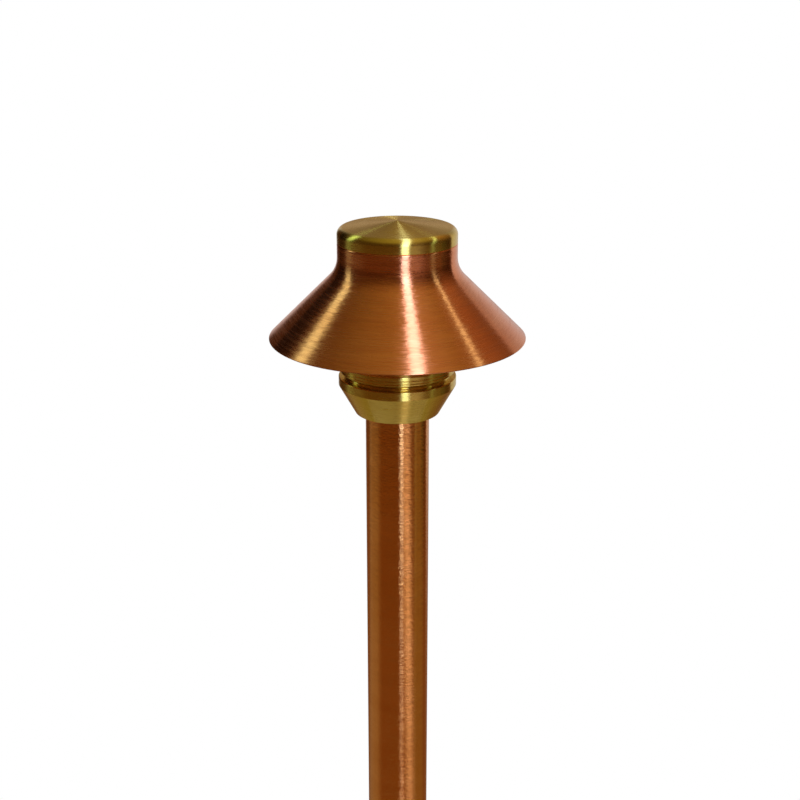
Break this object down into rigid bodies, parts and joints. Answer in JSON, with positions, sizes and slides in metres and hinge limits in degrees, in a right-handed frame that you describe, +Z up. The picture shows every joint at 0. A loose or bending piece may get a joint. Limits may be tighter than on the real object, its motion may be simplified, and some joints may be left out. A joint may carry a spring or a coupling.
{
  "type": "path light",
  "caption": "Garden path light: flared copper hat with a turned brass cap over a glass lens tube, screwed to a brass cup on a copper stem with a plastic ground stake.",
  "frame": {"origin": "on the light's axis at the ground line, the underside of the stake's flange", "axes": "+Z up along the stem; the cable inlet in the stake's boss faces +Y, the back"},
  "size_m": [0.0878, 0.0878, 0.6156],
  "materials": {
    "turned_brass": "lathe-turned, satin, clear lacquered",
    "machined_brass": "plain machined",
    "spun_copper": "spun copper, circumferentially brushed",
    "copper_tube": "drawn copper tube, brushed round",
    "stainless": "plain stainless steel",
    "nickel": "nickel plated",
    "tungsten": "drawn tungsten wire",
    "lens_glass": "clear borosilicate tube",
    "lamp_glass": "clear quartz capsule",
    "steatite": "matt unglazed ceramic",
    "black_rubber": "matt black rubber",
    "silicone": "red silicone sheet",
    "black_insulation": "flexible insulation",
    "white_insulation": "flexible insulation",
    "connector_plastic": "moulded, slightly glossy",
    "stake_plastic": "black moulded plastic, fine grain"
  },
  "bodies": {
    "base": {"flange_gasket": "silicone", "base_cup": "turned_brass", "stem_adapter": "machined_brass", "stem_lock_nut": "machined_brass", "wire_grommet": "black_rubber", "socket_plate": "stainless", "socket_plate_screws": "stainless", "lamp_holder": "steatite", "holder_contacts": "nickel", "holder_screws": "stainless", "live_lead": "black_insulation", "return_lead": "white_insulation", "wire_connectors": "connector_plastic", "stem_tube": "copper_tube", "stem_hub": "machined_brass", "hub_gasket": "black_rubber", "ground_stake": "stake_plastic", "cable_grommet": "black_rubber"},
    "lens_cage": {"top_plate": "machined_brass", "cage_posts": "stainless", "lens_tube": "lens_glass", "upper_lens_gasket": "silicone", "lower_lens_gasket": "silicone", "cage_flange": "machined_brass"},
    "ring_washer": {"slip_washer": "stainless"},
    "lens_ring": {"lens_ring": "turned_brass"},
    "hat": {"copper_hat": "spun_copper"},
    "cap_seal": {"cap_o_ring": "black_rubber"},
    "cap": {"top_cap": "turned_brass"},
    "lamp": {"lamp_bulb": "lamp_glass", "lamp_pins": "nickel", "lamp_filament": "tungsten"}
  },
  "joints": [
    {"name": "lens_cage_lift", "type": "slide", "parent": "base", "child": "lens_cage", "axis": [0, 0, 1], "range_m": [0, 0.05]},
    {"name": "lens_ring_rise", "type": "slide", "parent": "lens_cage", "child": "ring_washer", "axis": [0, 0, 1], "range_m": [0, 0.0045]},
    {"name": "lens_ring_turn", "type": "hinge", "parent": "ring_washer", "child": "lens_ring", "pos_m": [0, 0, 0.3511], "axis": [0, 0, 1], "range_deg": [0, 1080]},
    {"name": "hat_lift", "type": "slide", "parent": "lens_cage", "child": "hat", "axis": [0, 0, 1], "range_m": [0, 0.05]},
    {"name": "cap_rise", "type": "slide", "parent": "hat", "child": "cap_seal", "axis": [0, 0, 1], "range_m": [0, 0.0045]},
    {"name": "cap_turn", "type": "hinge", "parent": "cap_seal", "child": "cap", "pos_m": [0, 0, 0.3924], "axis": [0, 0, 1], "range_deg": [0, 1080]},
    {"name": "lamp_pull", "type": "slide", "parent": "base", "child": "lamp", "axis": [0, 0, 1], "range_m": [0, 0.007]}
  ],
  "couplings": [
    {"joint": "lens_ring_rise", "follows": "lens_ring_turn", "m_per_rad": 0.00023873},
    {"joint": "cap_rise", "follows": "cap_turn", "m_per_rad": 0.00023873}
  ]
}
